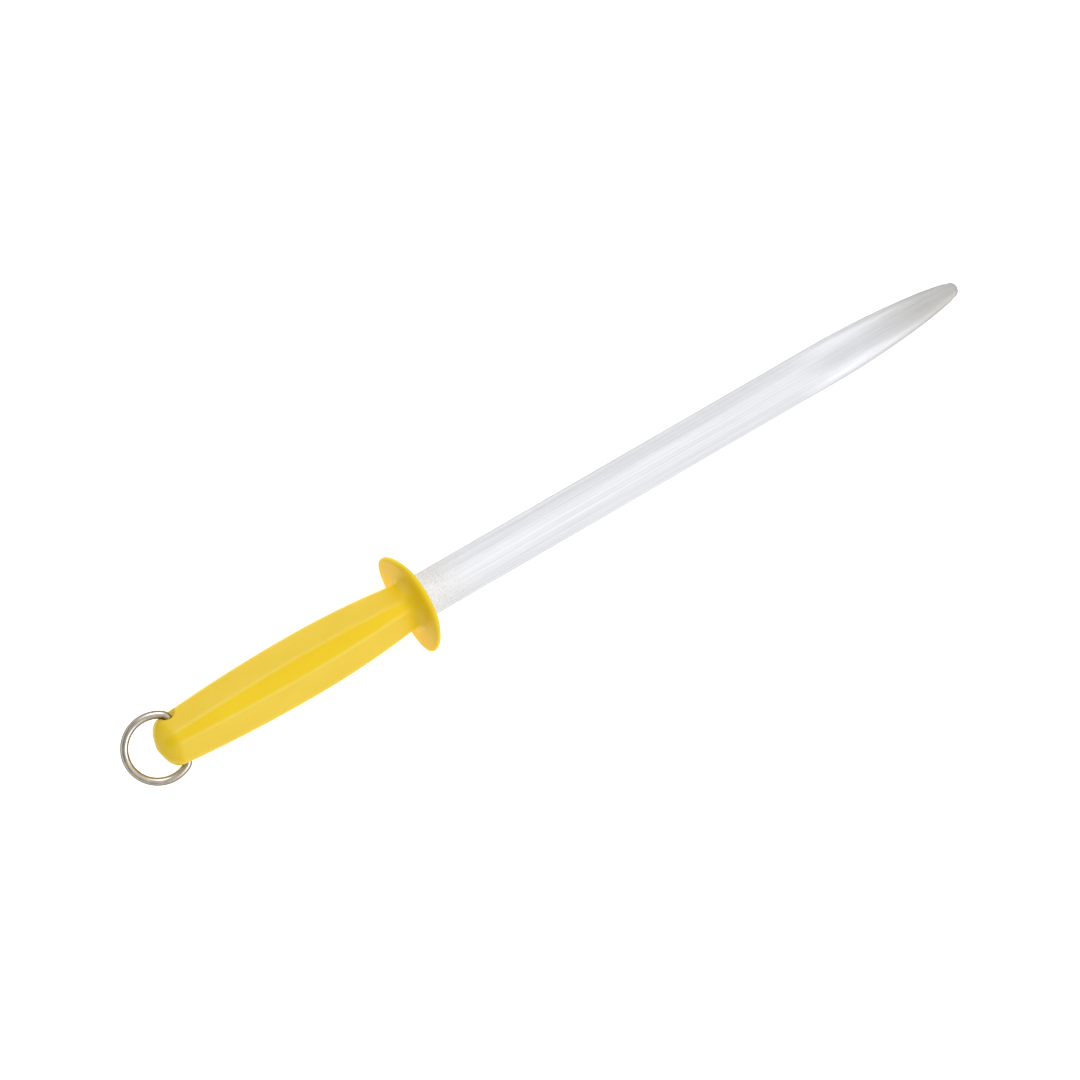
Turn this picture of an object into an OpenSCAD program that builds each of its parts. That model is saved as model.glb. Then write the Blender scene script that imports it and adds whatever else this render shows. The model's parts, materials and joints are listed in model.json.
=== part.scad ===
// Butcher's sharpening steel: oval steel blade with a forged tang, a moulded
// handle with its guard in one piece, and a wire ring that swings in a cross
// hole near the butt.
// Frame: origin at the centre of the guard's blade side. +X runs to the tip,
// +Y along the blade's width, +Z out of its broad face.

/* [Blade] */
// Length of the blade from the guard to the tip, mm
blade_length = 300; // [200:1:350]
// Width of the oval section, mm
blade_width = 20.3; // [12:0.1:26]
// Thickness of the oval section, mm
blade_thickness = 8.4; // [5:0.1:14]
// Length over which the blade narrows to its tip, mm
point_length = 75; // [20:1:90]
// Radius of the rounded end of the tip, mm
tip_radius = 3.6; // [1:0.1:6]

/* [Tang] */
// Depth to which the full oval section is moulded into the guard, mm
root_depth = 2.5; // [1:0.1:6]
// Width and depth of the witness groove round the blade at the guard, mm
root_groove = 0.35; // [0.1:0.05:0.8]
// Length of the tang inside the handle, mm
tang_length = 96; // [50:1:115]
// Width of the tang at the shoulder, mm
tang_width = 11; // [6:0.1:16]
// Width of the tang at its end, mm
tang_end_width = 7; // [4:0.1:14]
// Thickness of the tang, mm
tang_thickness = 6; // [3:0.1:8]

/* [Handle] */
// Length of the handle from the guard's blade side to the butt, mm
handle_length = 139.6; // [110:0.1:160]
// Place of the widest section, behind the guard's blade side, mm
swell_place = 64; // [40:1:90]
// Half width of the handle at its widest section, mm
swell_half_width = 14.65; // [11:0.05:18]
// Half width of the handle where the guard's fillet starts, mm
neck_half_width = 11.5; // [9:0.05:15]
// Half width of the handle at the butt before it is domed, mm
butt_half_width = 11; // [8:0.05:15]
// Half depth as a share of the half width
depth_ratio = 0.91; // [0.7:0.01:1.1]
// Length of the domed butt, mm
dome_length = 7.5; // [3:0.1:15]
// Half width of the narrow middle facet at the widest section, mm
facet_half_width = 4.6; // [2:0.1:8]
// Corner rounding between the facets, mm
facet_rounding = 2; // [0.5:0.1:5]

/* [Guard] */
// Width of the guard, along the blade's width, mm
guard_width = 48; // [36:0.1:60]
// Depth of the guard, along the blade's thickness, mm
guard_depth = 40.4; // [30:0.1:60]
// Thickness of the guard's rim, mm
rim_thickness = 3; // [2:0.1:6]
// Roundness of the guard's outline; 2 is an ellipse, less is more pointed
guard_form = 1.95; // [1.6:0.01:2.6]
// Fillet between the handle and the guard on the broad sides, mm
guard_fillet = 8; // [4:0.1:12]
// Fillet between the handle and the guard on the narrow sides, mm
side_fillet = 3.4; // [2:0.1:12]
// Backward sweep of the two wide ends of the guard, mm
guard_sweep = 2; // [0:0.1:4]
// Half width of the flat middle of the guard, which seats the blade, mm
guard_flat = 10.3; // [5:0.1:16]

/* [Cross hole] */
// Place of the hole's axis behind the guard's blade side, mm
hole_place = 129.4; // [115:0.5:135]
// Radius of the hole, mm
hole_radius = 2.75; // [2.2:0.05:4]
// Radius of each flared mouth, mm
mouth_radius = 4.2; // [2.5:0.05:6]
// Depth of each flare, mm
mouth_depth = 3; // [1:0.1:6]
// Turn of the hole about the handle's long axis, degrees
hole_turn = 14; // [0:1:45]

/* [Ring] */
// Diameter of the ring's wire, mm
wire_diameter = 3.6; // [2:0.1:5]
// Radius of the round loop at the wire's centre, mm
loop_radius = 15.2; // [12:0.1:24]
// Distance from the straight bar to the loop's centre, mm
loop_offset = 9.6; // [5:0.1:14]
// Radius of the bend between the bar and the loop, mm
corner_radius = 3.2; // [2:0.1:6]
// Sideways play of the ring in its hole, shown slid to one side, mm
ring_slide = 0.4; // [0:0.1:1.6]
// Angle that the ring hangs below the handle's axis, degrees
ring_drop = 19.4; // [0:0.1:60]

/* [Hidden] */
$fn = 96;
around = 56;
hw = blade_width / 2;
straight_end = blade_length - point_length;
neck_place = rim_thickness + guard_fillet;
gy = guard_width / 2;
gz = guard_depth / 2;
wire_r = wire_diameter / 2;

// Half width of the blade's outline at distance x from the guard.
function blade_half(x) =
    x <= straight_end ? hw
    : tip_radius + (hw - tip_radius)
      * pow(max(0, 1 - pow((x - straight_end) / (point_length - tip_radius), 1.8)), 0.75);

// Half width of the handle's barrel at place x (x is negative).
function barrel(x) =
    x < -swell_place
    ? swell_half_width - (swell_half_width - butt_half_width)
      * pow((-x - swell_place) / (handle_length - swell_place), 2)
    : swell_half_width - (swell_half_width - neck_half_width)
      * pow((x + swell_place) / (swell_place - neck_place), 2);

// Narrowing of the section over the domed butt.
function dome(x) =
    let (d = x + handle_length)
    d >= dome_length ? 1 : sqrt(max(0, 1 - pow((dome_length - d) / dome_length, 2)));

// Half width of the middle facet; it narrows towards both ends.
function facet(x) = facet_half_width * pow(barrel(x) / swell_half_width, 2.4);

// Support distance of a plane with its normal at angle q, for an octagon with
// half width w, half depth h and middle facets of half width f.
function side_facet(w) = 0.3 * w;
function octagon(w, h, f) = [
    [w, -side_facet(w)], [w, side_facet(w)], [f, h], [-f, h],
    [-w, side_facet(w)], [-w, -side_facet(w)], [-f, -h], [f, -h]];

// Distance from the centre to the octagon's wall in direction q.
function reach(q, pts) = min([for (i = [0:7])
    let (a = pts[i], b = pts[(i + 1) % 8],
         n = [b[1] - a[1], a[0] - b[0]], l = norm(n),
         d = (n * a) / l, c = (n / l) * [cos(q), sin(q)])
    c > 0.02 ? d / c : 1e6]);

// The same distance averaged over a small arc, which rounds the corners.
function soft(q, pts, s) =
    (reach(q - 1.5 * s, pts) + 2 * reach(q - 0.75 * s, pts) + 3 * reach(q, pts)
     + 2 * reach(q + 0.75 * s, pts) + reach(q + 1.5 * s, pts)) / 9;

// One ring of section points on the handle itself, scaled by k.
function section(x, k) = [for (i = [0:around - 1])
    let (q = 360 * i / around, r = k * handle_reach(x, q))
    [x, r * cos(q), r * sin(q)]];

function handle_reach(x, q) =
    let (w = barrel(x), pts = octagon(w, w * depth_ratio, facet(x)))
    soft(q, pts, 57.3 * facet_rounding / w / 1.6);

// Distance from the axis to the guard's edge in direction q.
function guard_reach(q) =
    pow(pow(abs(cos(q)) / gy, guard_form) + pow(abs(sin(q)) / gz, guard_form), -1 / guard_form);

// Size of the fillet in direction q.
function fillet(q) = side_fillet + (guard_fillet - side_fillet) * pow(abs(sin(q)), 1.6);

// How far the guard's ends sweep back at distance y from the middle.
function swept(y) = guard_sweep * pow(max(0, abs(y) - guard_flat) / (gy - guard_flat), 1.2);

// Point at direction q and distance r, at place x, on the guard.
function guard_point(x, q, r) = [x - swept(r * cos(q)), r * cos(q), r * sin(q)];

// The fillet: a quarter circle that starts on the handle (a = 0) and ends on
// the back of the guard (a = 90).
function fillet_ring(a) = [for (i = [0:around - 1])
    let (q = 360 * i / around, f = fillet(q),
         x = -rim_thickness - f * (1 - sin(a)),
         r = handle_reach(-rim_thickness - f, q) * (1 - a / 90)
             + handle_reach(-rim_thickness, q) * a / 90,
         room = guard_reach(q) - rim_r - r)
    guard_point(x, q, r + min(f, room * 0.985) * (1 - cos(a)))];

// A ring of points at share g of the way from the fillet's foot to the rim.
function back_ring(g) = [for (i = [0:around - 1])
    let (q = 360 * i / around, f = fillet(q), h = handle_reach(-rim_thickness, q),
         e = guard_reach(q) - rim_r, foot = h + min(f, (e - h) * 0.985))
    guard_point(-rim_thickness, q, foot + (e - foot) * g)];

function rim_ring(a) = [for (i = [0:around - 1])
    let (q = 360 * i / around)
    guard_point(-rim_r + rim_r * sin(a), q, guard_reach(q) - rim_r * (1 - cos(a)))];

function front_ring(g) = [for (i = [0:around - 1])
    let (q = 360 * i / around)
    guard_point(0, q, (guard_reach(q) - rim_r) * g)];

rim_r = rim_thickness / 2;
dome_steps = 7;
barrel_steps = 14;
fillet_steps = 9;
rim_steps = 5;
stations = concat(
    [for (i = [1:dome_steps])
        let (x = -handle_length + dome_length * (1 - cos(90 * i / dome_steps)))
        section(x, dome(x))],
    [for (i = [1:barrel_steps])
        section(-handle_length + dome_length
                + (handle_length - dome_length - neck_place - 0.6) * i / barrel_steps, 1)],
    [for (i = [0:fillet_steps]) fillet_ring(90 * i / fillet_steps)],
    [for (g = [0.5, 1]) back_ring(g)],
    [for (i = [1:rim_steps]) rim_ring(-90 + 180 * i / rim_steps)],
    [front_ring(0.55)]);

module shell() {
    n = len(stations);
    pts = concat([[-handle_length, 0, 0]],
                 [for (s = stations) for (p = s) p],
                 [[0, 0, 0]]);
    last = 1 + n * around;
    polyhedron(
        points = pts,
        faces = concat(
            [for (i = [0:around - 1]) [0, 1 + i, 1 + (i + 1) % around]],
            [for (s = [0:n - 2]) for (i = [0:around - 1])
                let (a = 1 + s * around + i, b = 1 + s * around + (i + 1) % around)
                [a, a + around, b]],
            [for (s = [0:n - 2]) for (i = [0:around - 1])
                let (a = 1 + s * around + i, b = 1 + s * around + (i + 1) % around)
                [b, a + around, b + around]],
            [for (i = [0:around - 1])
                [last, 1 + (n - 1) * around + (i + 1) % around,
                 1 + (n - 1) * around + i]]),
        convexity = 6);
}

// Flat tang with a tapering outline and a chiselled end.
module tang_form() {
    translate([0, 0, -tang_thickness / 2])
        linear_extrude(tang_thickness)
            polygon([[0, -tang_width / 2], [0, tang_width / 2],
                     [-tang_length + 5, tang_end_width / 2],
                     [-tang_length, tang_end_width / 5],
                     [-tang_length, -tang_end_width / 5],
                     [-tang_length + 5, -tang_end_width / 2]]);
}

// The oval section at the guard, grown by g and reaching down to depth d.
module oval_root(g, d) {
    scale([1, 1, (blade_thickness / 2 + g) / (hw + g)])
        rotate([0, 90, 0])
            translate([0, 0, -d])
                cylinder(r = hw + g, h = d + 1);
}

// Blade and tang are one forging.
module steel_blade() {
    steps = 22;
    tip_steps = 7;
    body_end = blade_length - tip_radius;
    color([0.80, 0.81, 0.83])
    union() {
        scale([1, 1, blade_thickness / blade_width])
            rotate([0, 90, 0])
                rotate_extrude($fn = 288)
                    polygon(concat(
                        [[0, -root_depth], [hw, -root_depth]],
                        [for (i = [0:steps])
                            let (x = straight_end + (body_end - straight_end) * i / steps)
                            [blade_half(x), x]],
                        [for (i = [1:tip_steps])
                            let (a = 90 * i / tip_steps)
                            [tip_radius * cos(a), body_end + tip_radius * sin(a)]]));
        tang_form();
    }
}

// Handle and guard are one moulding around the tang.
module handle() {
    color([0.96, 0.80, 0.14])
    difference() {
        shell();
        tang_form();
        oval_root(0, root_depth);
        oval_root(root_groove, root_groove);
        translate([-hole_place, 0, 0])
            rotate([hole_turn - 90, 0, 0]) {
                cylinder(r = hole_radius, h = 60, center = true);
                for (m = [0, 1])
                    mirror([0, 0, m])
                        translate([0, 0, butt_half_width - mouth_depth + 0.6])
                            cylinder(r1 = hole_radius, r2 = mouth_radius + 0.7,
                                     h = mouth_depth + 1.2);
            }
    }
}

// The ring's outline in its own plane: bar along Y at the origin, loop to -X.
// The wire is a little fuller in its two bends, where it was pressed round.
corner_reach = loop_radius - corner_radius;
corner_y = sqrt(pow(corner_reach, 2) - pow(loop_offset - corner_radius, 2));
corner_angle = atan2(corner_y, loop_offset - corner_radius);
bend_r = wire_r + 0.05;
lap = 0.3;
lap_angle = lap / loop_radius * 57.2958;

module wire_arc(r, wr, start, sweep) {
    rotate([0, 0, start])
        rotate_extrude(angle = sweep)
            translate([r, 0]) circle(r = wr);
}

module hanging_ring() {
    color([0.84, 0.83, 0.80])
    translate([-hole_place, 0, 0])
    rotate([hole_turn, 0, 0])
    translate([0, -ring_slide, 0])
    rotate([0, -ring_drop, 0])
    union() {
        rotate([90, 0, 0])
            cylinder(r = wire_r, h = 2 * (corner_y + lap), center = true);
        translate([-corner_radius, corner_y, 0])
            wire_arc(corner_radius, bend_r, 0, corner_angle);
        translate([-corner_radius, -corner_y, 0])
            wire_arc(corner_radius, bend_r, -corner_angle, corner_angle);
        translate([-loop_offset, 0, 0])
            wire_arc(loop_radius, wire_r, corner_angle - lap_angle,
                     360 - 2 * (corner_angle - lap_angle));
    }
}

steel_blade();
handle();
hanging_ring();
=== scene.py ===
import json
import math

import bpy
import numpy as np
from mathutils import Matrix, Vector


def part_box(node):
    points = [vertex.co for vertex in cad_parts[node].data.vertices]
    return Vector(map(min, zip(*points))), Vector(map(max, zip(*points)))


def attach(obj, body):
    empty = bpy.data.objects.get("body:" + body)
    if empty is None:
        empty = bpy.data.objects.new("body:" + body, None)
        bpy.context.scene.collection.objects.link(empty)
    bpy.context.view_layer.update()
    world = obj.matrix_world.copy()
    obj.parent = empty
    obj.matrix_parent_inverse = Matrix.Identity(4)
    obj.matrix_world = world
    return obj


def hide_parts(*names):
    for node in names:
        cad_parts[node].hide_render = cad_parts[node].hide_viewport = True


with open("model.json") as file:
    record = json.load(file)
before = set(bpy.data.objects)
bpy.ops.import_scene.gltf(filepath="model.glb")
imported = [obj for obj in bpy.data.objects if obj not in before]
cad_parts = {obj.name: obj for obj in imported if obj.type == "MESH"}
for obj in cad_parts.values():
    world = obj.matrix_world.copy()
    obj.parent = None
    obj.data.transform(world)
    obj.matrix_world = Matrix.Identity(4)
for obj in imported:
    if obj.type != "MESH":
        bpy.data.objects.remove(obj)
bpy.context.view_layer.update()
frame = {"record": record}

# ---------------------------------------------------------------- sizes (m)
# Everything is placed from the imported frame: the blade's tip and shoulder, the
# handle's box and the ring's joint.
blade_lo, blade_hi = [np.array(v, float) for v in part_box("steel_blade")]
handle_lo, handle_hi = [np.array(v, float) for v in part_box("handle")]
ring_lo, ring_hi = [np.array(v, float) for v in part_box("hanging_ring")]
joint = [j for j in frame["record"]["behaviour"]["joints"] if j["name"] == "ring_swing"][0]
HOLE = np.array(joint["pos_m"], float)
HAXIS = np.array(joint["axis"], float)
HAXIS /= np.linalg.norm(HAXIS)

TIP_X = blade_hi[0]
BLADE_A = blade_hi[1]            # half width of the oval section
BLADE_B = blade_hi[2]            # half thickness
BUTT_X = handle_lo[0]
GY = handle_hi[1]                # guard half width
GZ = handle_hi[2]                # guard half depth


def smooth(o, angle=None):
    for p in o.data.polygons:
        p.use_smooth = True
    if angle is not None:
        o.data.set_sharp_from_angle(angle=math.radians(angle))


def mesh_object(name, verts, faces):
    me = bpy.data.meshes.new(name)
    me.from_pydata([tuple(map(float, v)) for v in verts], [], [tuple(map(int, f)) for f in faces])
    me.validate()
    me.update()
    o = bpy.data.objects.new(name, me)
    bpy.context.scene.collection.objects.link(o)
    return o


def grid_faces(rows, cols, start=0, wrap=True):
    f = []
    for r in range(rows - 1):
        for c in range(cols if wrap else cols - 1):
            a = start + r * cols + c
            b = start + r * cols + (c + 1) % cols
            f.append((a, b, b + cols, a + cols))
    return f


# ------------------------------------------------------------------- blade
# An oval bar with the fine lengthwise cut of a sharpening steel as real
# ridges. The cut fades out over the smooth point and starts a few
# millimetres from the guard.
POINT = 0.075
TIP_R = 0.0036


def blade_half(x):
    s = TIP_X - POINT
    if x <= s:
        return BLADE_A
    e = TIP_X - TIP_R
    if x <= e:
        return TIP_R + (BLADE_A - TIP_R) * max(0.0, 1 - ((x - s) / (POINT - TIP_R)) ** 1.8) ** 0.75
    d = (x - e) / TIP_R
    return TIP_R * math.sqrt(max(0.0, 1 - d * d))


def build_blade():
    ridges = 96
    per = 8
    n = ridges * per
    rng = np.random.default_rng(7)
    depth = np.repeat(0.55 + 0.45 * rng.random(ridges), per)
    broad = np.repeat(rng.random(ridges), per)
    ang = np.arange(n) * 2 * math.pi / n
    # points at equal arc length round the oval, so that ridges are evenly spaced
    fine = np.linspace(0, 2 * math.pi, 20001)
    r = BLADE_B / BLADE_A
    seg = np.hypot(-np.sin(fine), r * np.cos(fine))
    arc = np.concatenate([[0], np.cumsum((seg[1:] + seg[:-1]) / 2 * np.diff(fine))])
    par = np.interp(ang / (2 * math.pi) * arc[-1], arc, fine)
    cy, cz = np.cos(par), r * np.sin(par)
    ny, nz = np.cos(par), np.sin(par) / r
    nn = np.hypot(ny, nz)
    ny, nz = ny / nn, nz / nn
    ph = (np.arange(n) % per) / per
    groove = (0.5 - 0.5 * np.cos(2 * math.pi * ph)) ** 1.4      # 0 at the bottom, 1 on the crest
    xs = [0.0]
    xs += list(np.linspace(0.0006, 0.012, 9))
    xs += list(np.linspace(0.016, TIP_X - POINT, 42))
    e = TIP_X - TIP_R
    xs += list(TIP_X - POINT + (e - TIP_X + POINT) * (np.arange(1, 45) / 44.0))
    xs += [e + TIP_R * math.sin(math.pi / 2 * k / 10) for k in range(1, 10)]
    rows = []
    for x in xs:
        a = blade_half(x)
        cut = 1.0
        cut *= min(1.0, max(0.0, (x - 0.0025) / 0.004))
        cut *= min(1.0, max(0.0, (TIP_X - POINT + 0.010 - x) / 0.030))
        d = 0.00011 * depth * (1 - groove) * cut
        rows.append(np.c_[np.full(n, x), cy * a - ny * d, cz * a - nz * d])
    verts = np.vstack(rows)
    faces = grid_faces(len(rows), n)
    tip = len(verts)
    verts = np.vstack([verts, [[TIP_X, 0, 0]]])
    base = (len(rows) - 1) * n
    faces += [(base + i, base + (i + 1) % n, tip) for i in range(n)]
    c = len(verts)
    verts = np.vstack([verts, [[0.0, 0, 0]]])
    faces += [((i + 1) % n, i, c) for i in range(n)]
    o = mesh_object("blade", verts, faces)
    smooth(o, 60)
    return o


# ------------------------------------------------------------------ handle
SWELL = 0.064
SWELL_W = 0.01465
NECK_W = 0.0115
BUTT_W = 0.0110
DEPTH = 0.91
DOME = 0.0075
FACET = 0.0046
RIM = 0.003
FILLET = 0.008                  # on the broad sides
SIDE_FILLET = 0.0034            # on the narrow sides
NECK = RIM + FILLET
SWEEP = 0.0020
FLAT = 0.0103
FORM = 1.95


def barrel(x):
    L = -BUTT_X
    if x < -SWELL:
        return SWELL_W - (SWELL_W - BUTT_W) * ((-x - SWELL) / (L - SWELL)) ** 2
    return SWELL_W - (SWELL_W - NECK_W) * ((x + SWELL) / (SWELL - NECK)) ** 2


def dome(x):
    d = x - BUTT_X
    return 1.0 if d >= DOME else math.sqrt(max(0.0, 1 - ((DOME - d) / DOME) ** 2))


def facet(x):
    return FACET * (barrel(x) / SWELL_W) ** 2.4


def octagon(w, h, f):
    s = 0.3 * w
    return np.array([[w, -s], [w, s], [f, h], [-f, h], [-w, s], [-w, -s], [-f, -h], [f, -h]])


def reach(q, pts):
    best = np.full(q.shape, 1e9)
    for i in range(8):
        a, b = pts[i], pts[(i + 1) % 8]
        nrm = np.array([b[1] - a[1], a[0] - b[0]])
        nrm /= np.linalg.norm(nrm)
        d = nrm @ a
        c = nrm[0] * np.cos(q) + nrm[1] * np.sin(q)
        ok = c > 0.02
        best = np.where(ok, np.minimum(best, d / np.where(ok, c, 1)), best)
    return best


N_ROUND = 288


Q = np.arange(N_ROUND) * 2 * math.pi / N_ROUND
ROUNDING = 0.0017
RIM_R = RIM / 2


def handle_reach(x):
    w = barrel(x)
    pts = octagon(w, w * DEPTH, facet(x))
    s = ROUNDING / w / 1.6
    r = 0
    tot = 0
    for off, wt in ((-1.5, 1), (-1.125, 1.5), (-0.75, 2), (-0.375, 2.5), (0, 3),
                    (0.375, 2.5), (0.75, 2), (1.125, 1.5), (1.5, 1)):
        r = r + wt * reach(Q + off * s, pts)
        tot += wt
    return r / tot


def section(x, k):
    r = k * handle_reach(x)
    return np.c_[np.full(N_ROUND, x), r * np.cos(Q), r * np.sin(Q)]


GUARD_REACH = ((np.abs(np.cos(Q)) / GY) ** FORM + (np.abs(np.sin(Q)) / GZ) ** FORM) ** (-1 / FORM)
FILLET_Q = SIDE_FILLET + (FILLET - SIDE_FILLET) * np.abs(np.sin(Q)) ** 1.6
EDGE = GUARD_REACH - RIM_R


def guard_ring(x, r):
    y = r * np.cos(Q)
    sw = SWEEP * (np.maximum(0, np.abs(y) - FLAT) / (GY - FLAT)) ** 1.2
    return np.c_[x - sw, y, r * np.sin(Q)]


def handle_reach_q(xs):
    # the same section, with its place x different at every direction
    lo, hi = xs.min(), xs.max()
    if hi - lo < 1e-9:
        return handle_reach(lo)
    grid = np.linspace(lo, hi, 9)
    tab = np.array([handle_reach(g) for g in grid])
    t = (xs - lo) / (hi - lo) * 8
    i = np.clip(t.astype(int), 0, 7)
    f = t - i
    c = np.arange(N_ROUND)
    return tab[i, c] * (1 - f) + tab[i + 1, c] * f


def build_handle():
    rows = []
    for i in range(1, 29):
        x = BUTT_X + DOME * (1 - math.cos(math.pi / 2 * i / 28))
        rows.append(section(x, dome(x)))
    for i in range(1, 61):
        x = BUTT_X + DOME + (-BUTT_X - DOME - NECK - 0.0006) * i / 60
        rows.append(section(x, 1))
    foot_a = handle_reach_q(-RIM - FILLET_Q)
    foot_b = handle_reach(-RIM)
    for i in range(0, 37):
        a = math.pi / 2 * i / 36
        x = -RIM - FILLET_Q * (1 - math.sin(a))
        t = i / 36
        r = foot_a * (1 - t) + foot_b * t
        r = r + np.minimum(FILLET_Q, (EDGE - r) * 0.985) * (1 - math.cos(a))
        rows.append(guard_ring(x, r))
    foot = foot_b + np.minimum(FILLET_Q, (EDGE - foot_b) * 0.985)
    for g in (0.15, 0.35, 0.6, 0.85, 1.0):
        rows.append(guard_ring(np.full(N_ROUND, -RIM), foot + (EDGE - foot) * g))
    for i in range(1, 21):
        a = -math.pi / 2 + math.pi * i / 20
        rows.append(guard_ring(np.full(N_ROUND, -RIM_R + RIM_R * math.sin(a)),
                               GUARD_REACH - RIM_R * (1 - math.cos(a))))
    for g in (0.95, 0.85, 0.7, 0.55, 0.4):
        rows.append(guard_ring(np.zeros(N_ROUND), EDGE * g))
    verts = np.vstack(rows)
    faces = grid_faces(len(rows), N_ROUND)
    c0 = len(verts)
    verts = np.vstack([verts, [[BUTT_X, 0, 0], [0, 0, 0]]])
    faces += [((i + 1) % N_ROUND, i, c0) for i in range(N_ROUND)]
    base = (len(rows) - 1) * N_ROUND
    faces += [(base + i, base + (i + 1) % N_ROUND, c0 + 1) for i in range(N_ROUND)]
    o = mesh_object("handle_shell", verts, faces)
    # the cross hole with flared mouths
    side = Vector(HAXIS)
    prof = [(-0.030, 0.0054), (-0.0150, 0.0054), (-0.0124, 0.0047), (-0.0112, 0.0041),
            (-0.0100, 0.0034), (-0.0088, 0.00275), (0.0088, 0.00275), (0.0100, 0.0034),
            (0.0112, 0.0041), (0.0124, 0.0047), (0.0150, 0.0054), (0.030, 0.0054)]
    m = 64
    cv = []
    e1 = side.orthogonal().normalized()
    e2 = side.cross(e1)
    for d, r in prof:
        for i in range(m):
            a = 2 * math.pi * i / m
            cv.append(Vector(HOLE) + side * d + e1 * (r * math.cos(a)) + e2 * (r * math.sin(a)))
    cf = grid_faces(len(prof), m)
    cf.append(tuple(reversed(range(m))))
    cf.append(tuple((len(prof) - 1) * m + i for i in range(m)))
    cutter = mesh_object("cutter", cv, cf)
    mod = o.modifiers.new("hole", "BOOLEAN")
    mod.operation = "DIFFERENCE"
    mod.solver = "EXACT"
    mod.object = cutter
    bpy.context.view_layer.update()
    dg = bpy.context.evaluated_depsgraph_get()
    me = bpy.data.meshes.new_from_object(o.evaluated_get(dg))
    o.modifiers.clear()
    old = o.data
    o.data = me
    bpy.data.meshes.remove(old)
    bpy.data.objects.remove(cutter)
    smooth(o, 38)
    o.name = "handle_moulding"
    return o


# -------------------------------------------------------------------- ring
WIRE = 0.0018
LOOP = 0.0152
OFFSET = 0.0096
CORNER = 0.0032
DROP = math.radians(19.4)
SLIDE = 0.0004


def build_ring():
    cy = math.sqrt((LOOP - CORNER) ** 2 - (OFFSET - CORNER) ** 2)
    ca = math.atan2(cy, OFFSET - CORNER)
    path = []
    for k in range(13):
        path.append((0.0, -cy + 2 * cy * k / 12))
    for k in range(1, 15):
        a = ca * k / 14
        path.append((-CORNER + CORNER * math.cos(a), cy + CORNER * math.sin(a)))
    for k in range(1, 120):
        a = ca + (2 * math.pi - 2 * ca) * k / 120
        path.append((-OFFSET + LOOP * math.cos(a), LOOP * math.sin(a)))
    for k in range(0, 14):
        a = -ca + ca * k / 14
        path.append((-CORNER + CORNER * math.cos(a), -cy + CORNER * math.sin(a)))
    P = np.array(path)
    n = len(P)
    m = 32
    T = np.roll(P, -1, 0) - np.roll(P, 1, 0)
    T /= np.linalg.norm(T, axis=1)[:, None]
    verts = []
    for p, t in zip(P, T):
        nx, ny = t[1], -t[0]
        for i in range(m):
            a = 2 * math.pi * i / m
            verts.append((p[0] + WIRE * math.cos(a) * nx, p[1] + WIRE * math.cos(a) * ny,
                          WIRE * math.sin(a)))
    faces = []
    for r in range(n):
        for c in range(m):
            a = r * m + c
            b = r * m + (c + 1) % m
            a2 = ((r + 1) % n) * m + c
            b2 = ((r + 1) % n) * m + (c + 1) % m
            faces.append((a, a2, b2, b))
    u = Matrix.Rotation(math.atan2(HAXIS[2], HAXIS[1]), 4, "X") @ Matrix.Translation((0, -SLIDE, 0)) @ Matrix.Rotation(-DROP, 4, "Y")
    place = Matrix.Translation(Vector(HOLE)) @ u
    verts = [place @ Vector(v) for v in verts]
    o = mesh_object("ring_wire", verts, faces)
    smooth(o)
    return o


# --------------------------------------------------------------- materials
def new_material(name):
    m = bpy.data.materials.new(name)
    m.use_nodes = True
    nt = m.node_tree
    for nd in list(nt.nodes):
        nt.nodes.remove(nd)
    out = nt.nodes.new("ShaderNodeOutputMaterial")
    b = nt.nodes.new("ShaderNodeBsdfPrincipled")
    nt.links.new(b.outputs["BSDF"], out.inputs["Surface"])
    return m, nt, b


def node(nt, kind, **kw):
    n = nt.nodes.new(kind)
    for k, v in kw.items():
        if k.startswith("_"):
            continue
        setattr(n, k, v)
    return n


def coords(nt, scale):
    tc = node(nt, "ShaderNodeTexCoord")
    mp = node(nt, "ShaderNodeMapping")
    mp.inputs["Scale"].default_value = scale
    nt.links.new(tc.outputs["Object"], mp.inputs["Vector"])
    return mp.outputs["Vector"]


def noise(nt, vec, scale, detail=4.0, rough=0.55):
    n = node(nt, "ShaderNodeTexNoise")
    n.inputs["Scale"].default_value = scale
    n.inputs["Detail"].default_value = detail
    n.inputs["Roughness"].default_value = rough
    nt.links.new(vec, n.inputs["Vector"])
    return n.outputs["Fac"]


def ramp(nt, fac, stops):
    r = node(nt, "ShaderNodeValToRGB")
    cr = r.color_ramp
    while len(cr.elements) > 1:
        cr.elements.remove(cr.elements[-1])
    cr.elements[0].position = stops[0][0]
    cr.elements[0].color = stops[0][1]
    for p, c in stops[1:]:
        e = cr.elements.new(p)
        e.color = c
    nt.links.new(fac, r.inputs["Fac"])
    return r.outputs["Color"]


def maprange(nt, val, a, b, c, d):
    r = node(nt, "ShaderNodeMapRange")
    r.inputs["From Min"].default_value = a
    r.inputs["From Max"].default_value = b
    r.inputs["To Min"].default_value = c
    r.inputs["To Max"].default_value = d
    nt.links.new(val, r.inputs["Value"])
    return r.outputs["Result"]


def math_node(nt, op, a, b=None):
    n = node(nt, "ShaderNodeMath", operation=op)
    for i, v in enumerate((a, b)):
        if v is None:
            continue
        if isinstance(v, (int, float)):
            n.inputs[i].default_value = v
        else:
            nt.links.new(v, n.inputs[i])
    return n.outputs[0]


def bump(nt, b, height, strength, distance):
    bp = node(nt, "ShaderNodeBump")
    bp.inputs["Strength"].default_value = strength
    bp.inputs["Distance"].default_value = distance
    nt.links.new(height, bp.inputs["Height"])
    nt.links.new(bp.outputs["Normal"], b.inputs["Normal"])


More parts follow.
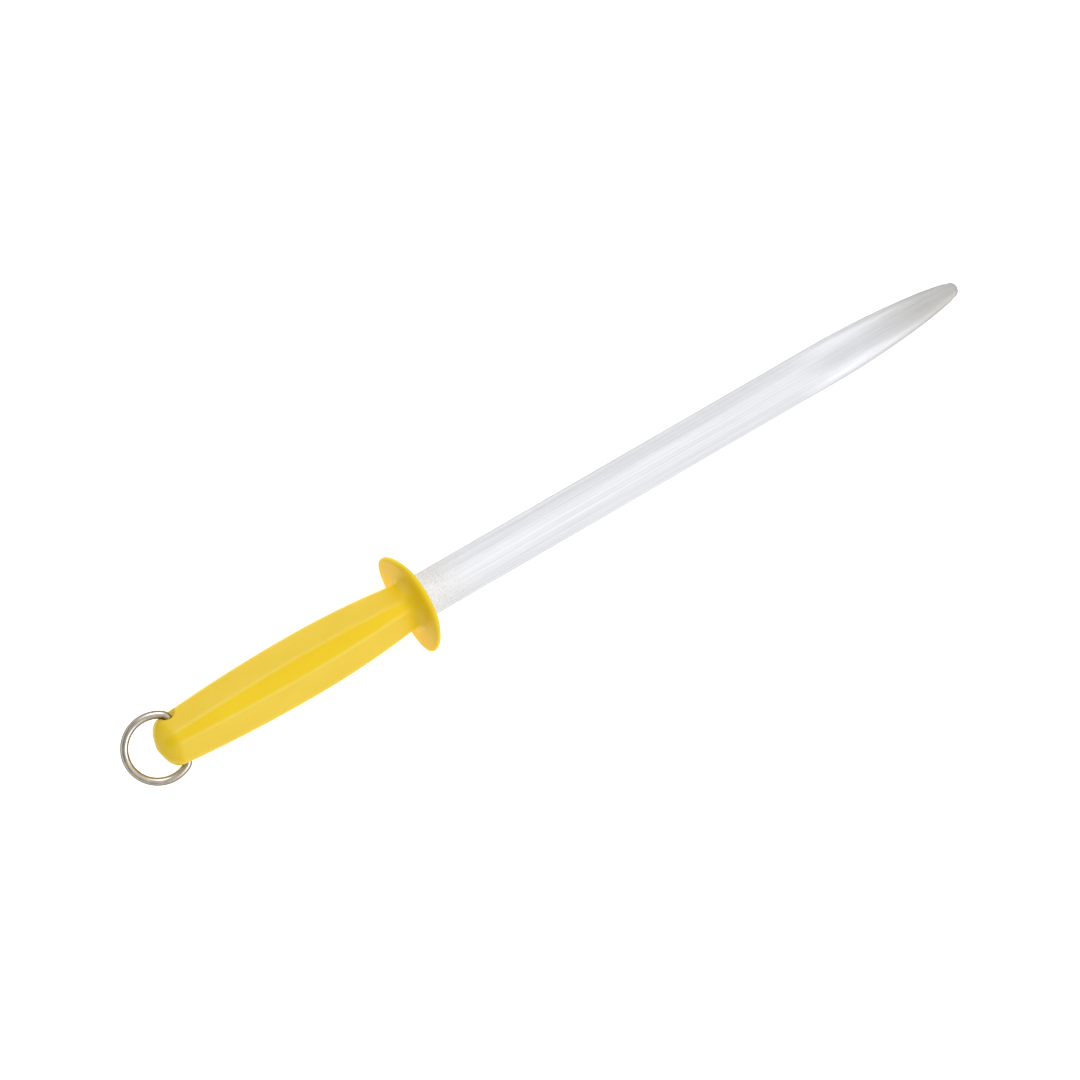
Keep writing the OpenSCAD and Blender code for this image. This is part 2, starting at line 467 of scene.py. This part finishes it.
def rgb_mix(nt, fac, a, b, blend="MIX"):
    n = node(nt, "ShaderNodeMix", data_type="RGBA", blend_type=blend)
    fac_in = n.inputs[0]
    ca, cb = n.inputs[6], n.inputs[7]
    if isinstance(fac, (int, float)):
        fac_in.default_value = fac
    else:
        nt.links.new(fac, fac_in)
    for sock, v in ((ca, a), (cb, b)):
        if isinstance(v, tuple):
            sock.default_value = v
        else:
            nt.links.new(v, sock)
    return n.outputs[2]


def facing(nt, blend=0.5):
    n = node(nt, "ShaderNodeLayerWeight")
    n.inputs["Blend"].default_value = blend
    return n.outputs["Facing"]


def object_axis(nt, axis):
    tc = node(nt, "ShaderNodeTexCoord")
    sp = node(nt, "ShaderNodeSeparateXYZ")
    nt.links.new(tc.outputs["Object"], sp.inputs["Vector"])
    return sp.outputs[axis]


def steel_material():
    m, nt, b = new_material("cut_steel")
    b.inputs["Metallic"].default_value = 0.62
    x = object_axis(nt, "X")
    streak = noise(nt, coords(nt, (5.0, 2600.0, 2600.0)), 1.0, 3.0, 0.6)
    streak2 = noise(nt, coords(nt, (16.0, 620.0, 620.0)), 1.0, 4.0, 0.6)
    spot = noise(nt, coords(nt, (1300, 2600, 2600)), 1.0, 3.0, 0.6)
    both = math_node(nt, "ADD", math_node(nt, "MULTIPLY", streak, 0.6), math_node(nt, "MULTIPLY", streak2, 0.4))
    cut = ramp(nt, both, [(0.30, (0.66, 0.665, 0.68, 1)), (0.5, (0.76, 0.765, 0.785, 1)), (0.70, (0.84, 0.845, 0.87, 1))])
    # the smooth point, ground and warmer
    tip = maprange(nt, x, TIP_X - 0.056, TIP_X - 0.018, 0.0, 1.0)
    ground = ramp(nt, streak2, [(0.35, (0.53, 0.525, 0.505, 1)), (0.65, (0.60, 0.595, 0.575, 1))])
    c = rgb_mix(nt, tip, cut, ground)
    # the first centimetres at the guard are plain and finely pitted
    root = maprange(nt, x, 0.030, 0.012, 0.0, 1.0)
    pit = ramp(nt, spot, [(0.36, (0.60, 0.60, 0.60, 1)), (0.50, (0.745, 0.745, 0.75, 1)), (0.66, (0.83, 0.83, 0.835, 1))])
    c = rgb_mix(nt, root, c, pit)
    # painted shade: the base colour darkens towards the silhouette edges by the Layer Weight facing, in place of the
    # darker surroundings the edges reflect
    painted_edge_shade = ramp(nt, facing(nt, 0.5), [(0.0, (1, 1, 1, 1)), (0.30, (1, 1, 1, 1)), (0.48, (0.84, 0.84, 0.85, 1)), (0.72, (0.60, 0.60, 0.62, 1)), (1.0, (0.36, 0.36, 0.38, 1))])
    c = rgb_mix(nt, 1.0, c, painted_edge_shade, "MULTIPLY")
    nt.links.new(c, b.inputs["Base Color"])
    nt.links.new(maprange(nt, both, 0.3, 0.7, 0.56, 0.42), b.inputs["Roughness"])
    h = math_node(nt, "ADD", both, math_node(nt, "MULTIPLY", spot, 0.25))
    bump(nt, b, h, 0.30, 0.00005)
    return m


def plastic_material():
    m, nt, b = new_material("yellow_moulded_plastic")
    fine = noise(nt, coords(nt, (2400, 2400, 2400)), 1.0, 2.0, 0.5)
    cloud = noise(nt, coords(nt, (26, 60, 60)), 1.0, 3.0, 0.5)
    scuff = noise(nt, coords(nt, (70, 900, 900)), 1.0, 5.0, 0.65)
    x, y = object_axis(nt, "X"), object_axis(nt, "Y")
    # distance from the ridge between the middle facet and the slanted ones;
    # the facet's half width changes along the handle as its shape does
    xs = [BUTT_X + (-BUTT_X - 0.004) * i / 9 for i in range(10)]
    fac = maprange(nt, x, xs[0], xs[-1], 0.0, 1.0)
    half = ramp(nt, fac, [(i / 9, (facet(v) * 100, facet(v) * 100, facet(v) * 100, 1)) for i, v in enumerate(xs)])
    dist = math_node(nt, "SUBTRACT", math_node(nt, "ABSOLUTE", y), math_node(nt, "MULTIPLY", half, 0.01))
    body = math_node(nt, "MULTIPLY", maprange(nt, x, -0.008, -0.013, 0.0, 1.0), maprange(nt, x, BUTT_X + 0.002, BUTT_X + 0.009, 0.0, 1.0))
    # painted sheen: the slanted facets get a paler, whiter base colour than the middle facet, standing in for the
    # white sheen they reflect
    sheen_facet_mask = math_node(nt, "MULTIPLY", maprange(nt, dist, -0.0008, 0.0008, 0.0, 1.0), body)
    plain = ramp(nt, cloud, [(0.3, (0.89, 0.605, 0.0090, 1)), (0.7, (0.93, 0.645, 0.0130, 1))])
    painted_sheen_colour = ramp(nt, cloud, [(0.3, (0.89, 0.615, 0.042, 1)), (0.7, (0.93, 0.655, 0.060, 1))])
    col = rgb_mix(nt, sheen_facet_mask, plain, painted_sheen_colour)
    # painted highlight: the ridges are made paler in the base colour, broken up by the scuff noise
    near = maprange(nt, math_node(nt, "ABSOLUTE", dist), 0.0013, 0.0001, 0.0, 1.0)
    painted_ridge_highlight = math_node(nt, "MULTIPLY", math_node(nt, "MULTIPLY", near, body), maprange(nt, scuff, 0.35, 0.6, 0.20, 0.60))
    col = rgb_mix(nt, painted_ridge_highlight, col, (0.92, 0.70, 0.11, 1))
    nt.links.new(col, b.inputs["Base Color"])
    mix = math_node(nt, "ADD", math_node(nt, "MULTIPLY", scuff, 0.5), math_node(nt, "MULTIPLY", fine, 0.5))
    nt.links.new(maprange(nt, mix, 0.3, 0.7, 0.36, 0.50), b.inputs["Roughness"])
    b.inputs["Specular IOR Level"].default_value = 0.28
    b.inputs["Subsurface Weight"].default_value = 0.03
    b.inputs["Subsurface Radius"].default_value = (0.003, 0.0022, 0.0004)
    b.inputs["Subsurface Scale"].default_value = 0.5
    bump(nt, b, mix, 0.25, 0.00005)
    return m


def chrome_material():
    m, nt, b = new_material("nickelled_wire")
    b.inputs["Metallic"].default_value = 1.0
    cloud = noise(nt, coords(nt, (240, 240, 240)), 1.0, 3.0, 0.5)
    fine = noise(nt, coords(nt, (2600, 2600, 2600)), 1.0, 2.0, 0.5)
    col = ramp(nt, cloud, [(0.3, (0.60, 0.55, 0.475, 1)), (0.7, (0.74, 0.685, 0.60, 1))])
    # painted shade: the wire's base colour darkens towards its outlines by the Layer Weight facing, in place of the
    # dark surroundings its edges reflect
    painted_edge_shade = ramp(nt, facing(nt, 0.5), [(0.0, (1, 1, 1, 1)), (0.16, (1, 1, 1, 1)), (0.34, (0.62, 0.59, 0.55, 1)), (0.55, (0.26, 0.24, 0.22, 1)), (1.0, (0.07, 0.065, 0.06, 1))])
    nt.links.new(rgb_mix(nt, 1.0, col, painted_edge_shade, "MULTIPLY"), b.inputs["Base Color"])
    nt.links.new(maprange(nt, cloud, 0.3, 0.7, 0.26, 0.38), b.inputs["Roughness"])
    b.inputs["Specular Tint"].default_value = (0.12, 0.11, 0.10, 1)
    bump(nt, b, fine, 0.10, 0.00003)
    return m


blade = build_blade()
handle = build_handle()
ring = build_ring()

blade.data.materials.clear(); blade.data.materials.append(steel_material())
handle.data.materials.clear(); handle.data.materials.append(plastic_material())
ring.data.materials.clear(); ring.data.materials.append(chrome_material())

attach(blade, "steel"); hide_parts("steel_blade")
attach(handle, "steel"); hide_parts("handle")
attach(ring, "ring"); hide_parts("hanging_ring")

# ------------------------------------------------------------------- stage
floor_z = float(min(blade_lo[2], handle_lo[2], ring_lo[2])) - 0.0002
S = 6.0
floor = mesh_object("floor", [(-S, -S, floor_z), (S, -S, floor_z), (S, S, floor_z), (-S, S, floor_z)],
                    [(0, 1, 2, 3)])
fm, fnt, fb = new_material("floor_white")
fn = noise(fnt, coords(fnt, (3, 3, 3)), 1.0, 2.0, 0.5)
fcol = ramp(fnt, fn, [(0.3, (0.93, 0.93, 0.93, 1)), (0.7, (0.95, 0.95, 0.95, 1))])
fnt.links.new(fcol, fb.inputs["Base Color"])
fb.inputs["Roughness"].default_value = 0.9
fb.inputs["Specular IOR Level"].default_value = 0.1
fb.inputs["Emission Color"].default_value = (1, 1, 1, 1)
fb.inputs["Emission Strength"].default_value = 0.5
floor.data.materials.append(fm)

# ------------------------------------------------------------------ camera
THETA = math.radians(20.0)
ROLL = math.radians(30.08)
s_dir = Vector((math.cos(THETA), 0, math.sin(THETA)))
y_dir = Vector((0, 1, 0))
back = Vector((-math.sin(THETA), 0, math.cos(THETA)))
right = s_dir * math.cos(ROLL) - y_dir * math.sin(ROLL)
up = s_dir * math.sin(ROLL) + y_dir * math.cos(ROLL)
MM_PER_PX = 0.4463e-3
DIST = 9.0
# image position of the row's origin, in pixels of a 1080 frame
OX, OY = 414.9, 600.6
cam_data = bpy.data.cameras.new("camera")
cam = bpy.data.objects.new("camera", cam_data)
bpy.context.scene.collection.objects.link(cam)
cam_data.sensor_width = 36.0
cam_data.sensor_height = 36.0
width = 1080 * MM_PER_PX
cam_data.lens = 36.0 * DIST / width
cam_data.clip_start = 0.05
cam_data.clip_end = 50
target = right * ((540 - OX) * MM_PER_PX) + up * ((OY - 540) * MM_PER_PX)
pos = target + back * DIST
rot = Matrix((right, up, back)).transposed().to_4x4()
cam.matrix_world = Matrix.Translation(pos) @ rot
bpy.context.scene.camera = cam


# ------------------------------------------------------------------ lights
def area(name, loc, look, size, power, color=(1, 1, 1), size_y=None):
    d = bpy.data.lights.new(name, "AREA")
    d.energy = power
    d.color = color
    d.size = size
    if size_y:
        d.shape = "RECTANGLE"
        d.size_y = size_y
    o = bpy.data.objects.new(name, d)
    o.location = loc
    o.rotation_euler = (Vector(look) - Vector(loc)).to_track_quat("-Z", "Y").to_euler()
    bpy.context.scene.collection.objects.link(o)
    return o


mid = (0.08, 0, 0)
area("key", (0.25, 1.4, 1.7), mid, 1.2, 14.0, size_y=1.0)
area("fill", (0.45, -1.5, 1.3), mid, 1.6, 13.0, size_y=0.9)

world = bpy.data.worlds.new("studio")
bpy.context.scene.world = world
world.use_nodes = True
wt = world.node_tree
bg = wt.nodes["Background"]
bg.inputs["Strength"].default_value = 1.0
wtc = wt.nodes.new("ShaderNodeTexCoord")
wsep = wt.nodes.new("ShaderNodeSeparateXYZ")
wt.links.new(wtc.outputs["Generated"], wsep.inputs["Vector"])
wcol = ramp(wt, wsep.outputs["Z"], [
    (0.0, (0.22, 0.22, 0.22, 1)), (0.18, (0.42, 0.42, 0.42, 1)),
    (0.45, (0.72, 0.72, 0.725, 1)), (0.8, (0.80, 0.80, 0.81, 1)), (1.0, (0.70, 0.70, 0.71, 1))])
# the studio is darker behind the butt
wdark = ramp(wt, maprange(wt, wsep.outputs["X"], -1.0, 1.0, 0.0, 1.0), [
    (0.0, (0.30, 0.30, 0.30, 1)), (0.25, (0.50, 0.50, 0.50, 1)), (0.45, (1, 1, 1, 1)), (1.0, (1, 1, 1, 1))])
wt.links.new(rgb_mix(wt, 1.0, wcol, wdark, "MULTIPLY"), bg.inputs["Color"])
bpy.context.scene.view_settings.view_transform = "Standard"
bpy.context.scene.view_settings.exposure = 0.0
